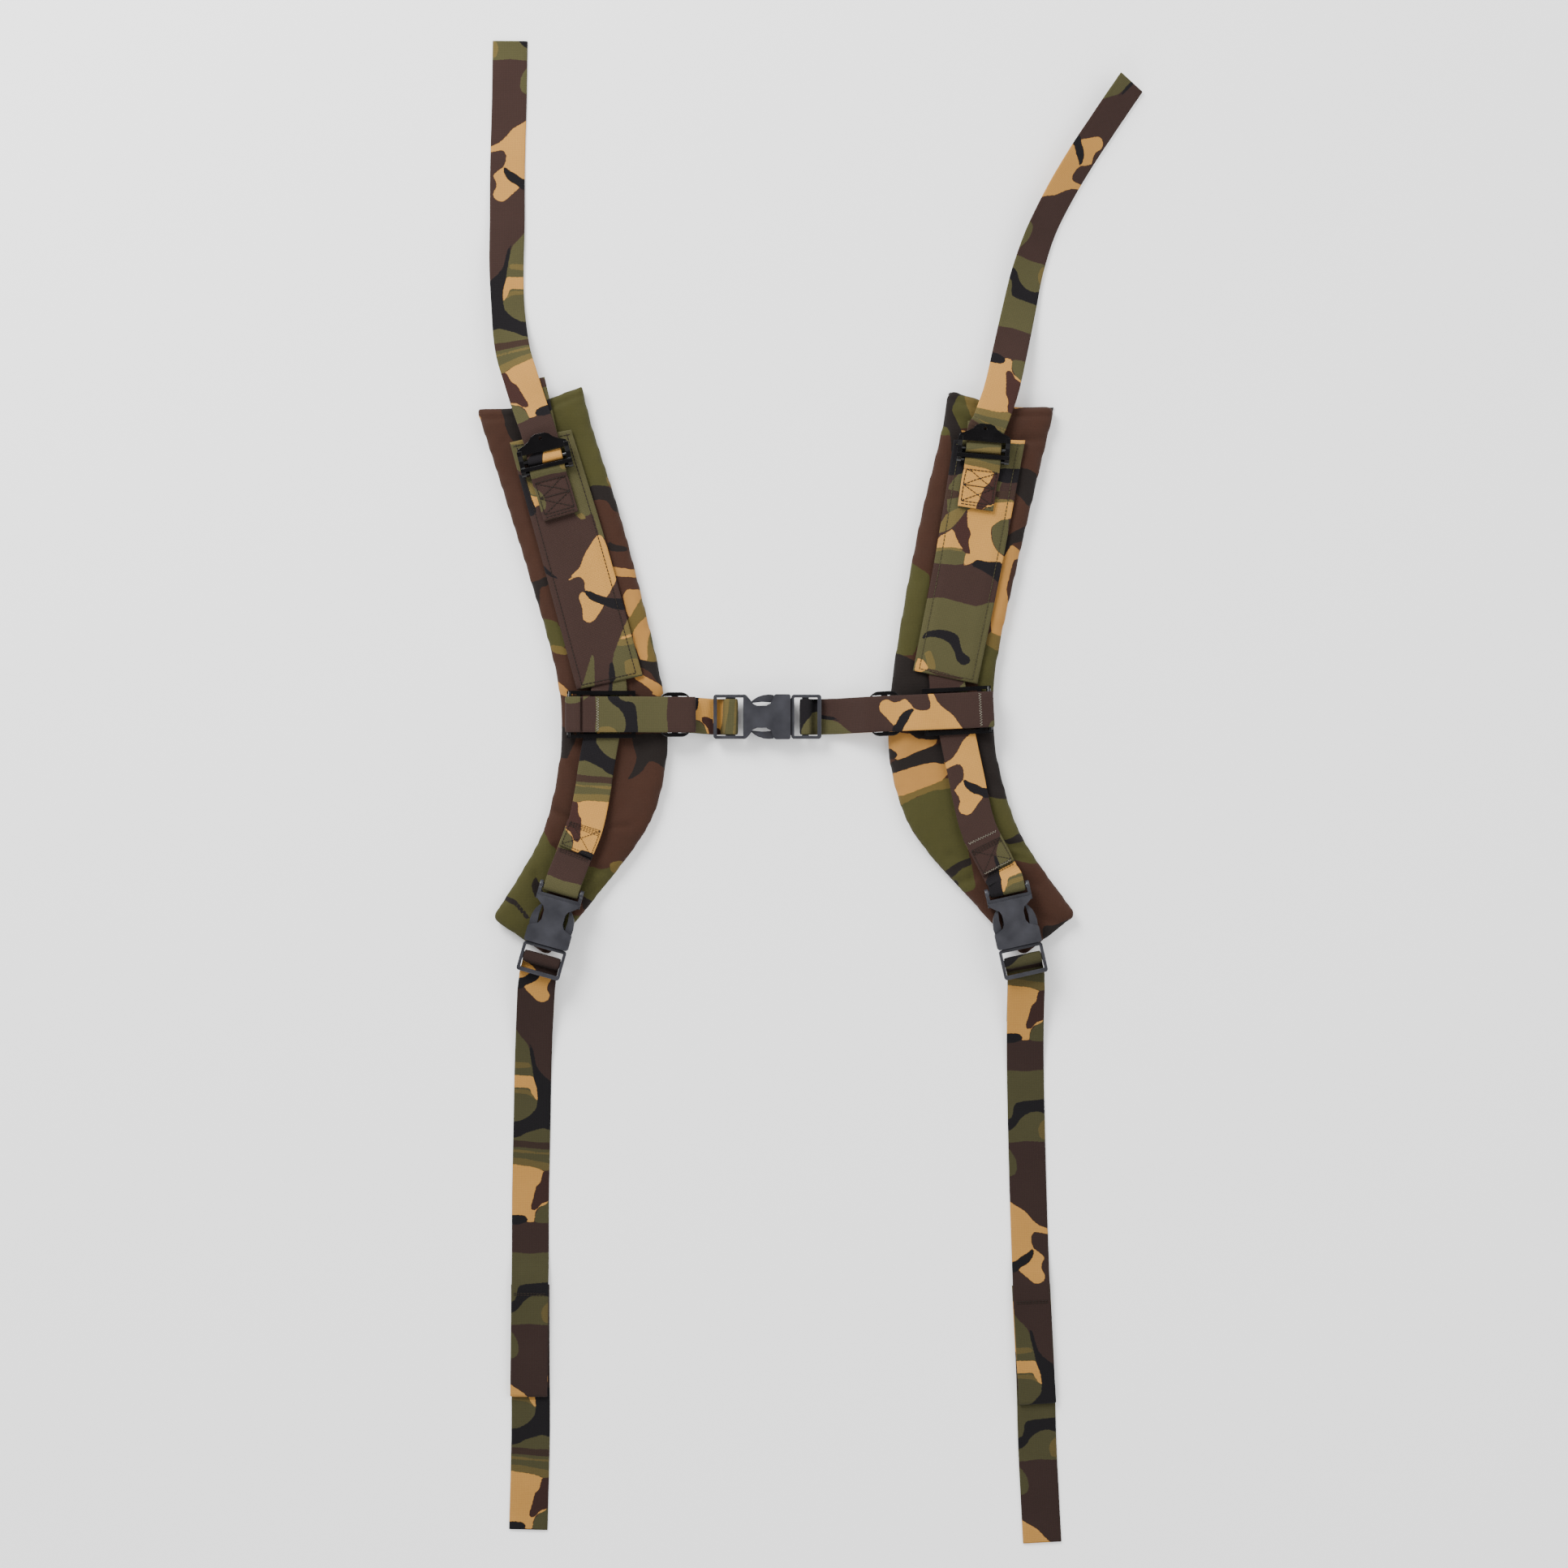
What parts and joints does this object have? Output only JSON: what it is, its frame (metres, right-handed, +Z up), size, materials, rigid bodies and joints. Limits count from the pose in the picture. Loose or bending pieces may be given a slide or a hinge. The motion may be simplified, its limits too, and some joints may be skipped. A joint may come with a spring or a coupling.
{
  "type": "padded shoulder strap pair",
  "caption": "Pair of curved padded rucksack shoulder straps in camouflage cloth, joined by a sternum strap, with ladder locks above and side release buckles on straps below.",
  "frame": {"origin": "on the surface the straps lie on, below the middle of the whole layout", "axes": "+X across the two straps, to the right as laid face up; +Y along the straps towards the top webbing ends; +Z up, away from the surface"},
  "size_m": [0.4681, 1.0555, 0.0224],
  "materials": {
    "webbing": "matte camouflage printed nylon webbing",
    "pad_cloth": "matte camouflage printed pack cloth",
    "backing_cloth": "matte olive spacer cloth",
    "foam": "closed cell foam",
    "black_plastic": "satin moulded acetal"
  },
  "bodies": {
    "left_pad": {"left_back_cover": "backing_cloth", "left_foam_core": "foam", "left_front_cover": "pad_cloth", "left_wide_panel": "webbing", "left_centre_webbing": "webbing", "left_buckle_keeper": "webbing", "left_lock_tab": "webbing", "left_top_strap": "webbing"},
    "left_lock": {"left_ladder_lock": "black_plastic", "left_lock_wrap": "webbing"},
    "left_female": {"left_lower_female": "black_plastic"},
    "left_male": {"left_lower_male": "black_plastic", "left_lower_strap": "webbing", "left_strap_extension": "webbing"},
    "left_outer_prong_arm": {"left_outer_prong": "black_plastic"},
    "left_inner_prong_arm": {"left_inner_prong": "black_plastic"},
    "left_glide": {"left_tri_glide": "black_plastic"},
    "right_pad": {"right_back_cover": "backing_cloth", "right_foam_core": "foam", "right_front_cover": "pad_cloth", "right_wide_panel": "webbing", "right_centre_webbing": "webbing", "right_buckle_keeper": "webbing", "right_lock_tab": "webbing", "right_top_strap": "webbing"},
    "right_lock": {"right_ladder_lock": "black_plastic", "right_lock_wrap": "webbing"},
    "right_female": {"right_lower_female": "black_plastic"},
    "right_male": {"right_lower_male": "black_plastic", "right_lower_strap": "webbing", "right_strap_extension": "webbing"},
    "right_outer_prong_arm": {"right_outer_prong": "black_plastic"},
    "right_inner_prong_arm": {"right_inner_prong": "black_plastic"},
    "right_glide": {"right_tri_glide": "black_plastic"},
    "left_chest": {"left_sternum_slider": "black_plastic", "left_sternum_keeper": "webbing", "left_sternum_strap": "webbing", "left_sternum_loop": "webbing", "sternum_female": "black_plastic"},
    "right_chest": {"sternum_male": "black_plastic", "right_sternum_strap": "webbing", "right_sternum_slider": "black_plastic"},
    "chest_upper_prong_arm": {"sternum_upper_prong": "black_plastic"},
    "chest_lower_prong_arm": {"sternum_lower_prong": "black_plastic"}
  },
  "joints": [
    {"name": "left_slider_travel", "type": "slide", "parent": "left_pad", "child": "left_chest", "axis": [-0.159, -0.9873, 0], "range_m": [0, 0.038]},
    {"name": "chest_release", "type": "slide", "parent": "left_chest", "child": "right_chest", "axis": [1, 0, 0], "range_m": [0, 0.034]},
    {"name": "right_slider_travel", "type": "slide", "parent": "right_chest", "child": "right_pad", "axis": [-0.209, 0.9779, 0], "range_m": [0, 0.038]},
    {"name": "left_lock_tilt", "type": "hinge", "parent": "left_pad", "child": "left_lock", "pos_m": [-0.1832, 0.2253, 0.0184], "axis": [0.9744, 0.225, 0], "range_deg": [0, 50]},
    {"name": "left_buckle_swing", "type": "hinge", "parent": "left_pad", "child": "left_female", "pos_m": [-0.1736, -0.0683, 0.017], "axis": [-0.9622, 0.2723, 0], "range_deg": [0, 60]},
    {"name": "left_buckle_release", "type": "slide", "parent": "left_female", "child": "left_male", "axis": [-0.2723, -0.9622, 0], "range_m": [0, 0.034]},
    {"name": "left_outer_squeeze", "type": "hinge", "parent": "left_male", "child": "left_outer_prong_arm", "pos_m": [-0.19462, -0.10143, 0.017], "axis": [0, 0, -1], "range_deg": [0, 8], "stiffness_Nm_per_rad": 0.05},
    {"name": "left_inner_squeeze", "type": "hinge", "parent": "left_male", "child": "left_inner_prong_arm", "pos_m": [-0.17306, -0.10753, 0.017], "axis": [0, 0, 1], "range_deg": [0, 8], "stiffness_Nm_per_rad": 0.05},
    {"name": "right_lock_tilt", "type": "hinge", "parent": "right_pad", "child": "right_lock", "pos_m": [0.1204, 0.2316, 0.0184], "axis": [0.9969, -0.0785, 0], "range_deg": [0, 50]},
    {"name": "right_buckle_swing", "type": "hinge", "parent": "right_pad", "child": "right_female", "pos_m": [0.1377, -0.068, 0.017], "axis": [-0.9759, -0.2181, 0], "range_deg": [0, 60]},
    {"name": "right_buckle_release", "type": "slide", "parent": "right_female", "child": "right_male", "axis": [0.2181, -0.9759, 0], "range_m": [0, 0.034]},
    {"name": "right_outer_squeeze", "type": "hinge", "parent": "right_male", "child": "right_outer_prong_arm", "pos_m": [0.15683, -0.10225, 0.017], "axis": [0, 0, 1], "range_deg": [0, 8], "stiffness_Nm_per_rad": 0.05},
    {"name": "right_inner_squeeze", "type": "hinge", "parent": "right_male", "child": "right_inner_prong_arm", "pos_m": [0.13497, -0.10714, 0.017], "axis": [0, 0, -1], "range_deg": [0, 8], "stiffness_Nm_per_rad": 0.05},
    {"name": "chest_upper_squeeze", "type": "hinge", "parent": "right_chest", "child": "chest_upper_prong_arm", "pos_m": [-0.0161, 0.064, 0.009], "axis": [0, 0, 1], "range_deg": [0, 8], "stiffness_Nm_per_rad": 0.05},
    {"name": "chest_lower_squeeze", "type": "hinge", "parent": "right_chest", "child": "chest_lower_prong_arm", "pos_m": [-0.0161, 0.0416, 0.009], "axis": [0, 0, -1], "range_deg": [0, 8], "stiffness_Nm_per_rad": 0.05},
    {"name": "left_glide_travel", "type": "slide", "parent": "left_chest", "child": "left_glide", "axis": [-1, 0, 0], "range_m": [0, 0.012]},
    {"name": "right_glide_travel", "type": "slide", "parent": "right_chest", "child": "right_glide", "axis": [0.9986, 0.0523, 0], "range_m": [0, 0.012]}
  ]
}
